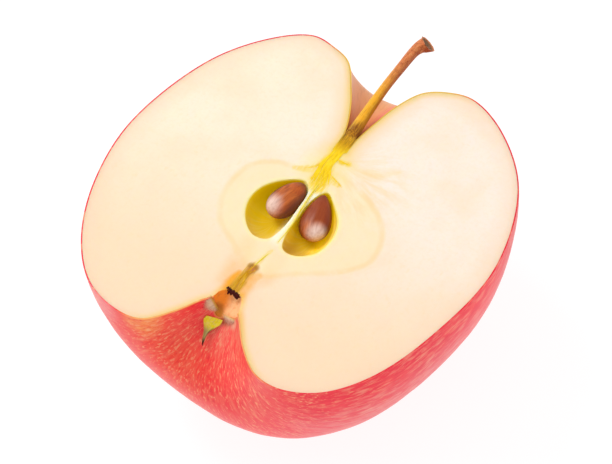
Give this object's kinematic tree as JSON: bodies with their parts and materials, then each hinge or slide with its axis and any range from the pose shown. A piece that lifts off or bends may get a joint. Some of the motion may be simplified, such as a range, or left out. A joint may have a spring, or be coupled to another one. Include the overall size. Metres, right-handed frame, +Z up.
{
  "type": "apple half",
  "caption": "Halved fruit lying cut face up: round red back with a stem basin and a calyx basin, open seed chambers with seeds, a stem and dried sepals.",
  "frame": {"origin": "centre of the flat spot that the half rests on, under its centre of mass", "axes": "+Z up, square to the cut face; +Y along the core line towards the stem; +X to the right seen from above the cut face with the stem away from the viewer"},
  "size_m": [0.0759, 0.0785, 0.0388],
  "materials": {
    "flesh": "moist cream fruit flesh",
    "skin": "waxy red skin with short cream streaks",
    "stem": "dry brown stalk, ochre towards its root",
    "seed": "glossy brown seed coat with fine lengthwise streaks",
    "sepal": "dried yellow-green leaf, dark at the tip"
  },
  "bodies": {
    "root": {"apple_half": "flesh", "stem": "stem", "seed_left": "seed", "seed_right": "seed", "sepal_left": "sepal", "sepal_middle": "sepal", "sepal_right": "sepal"}
  },
  "joints": []
}
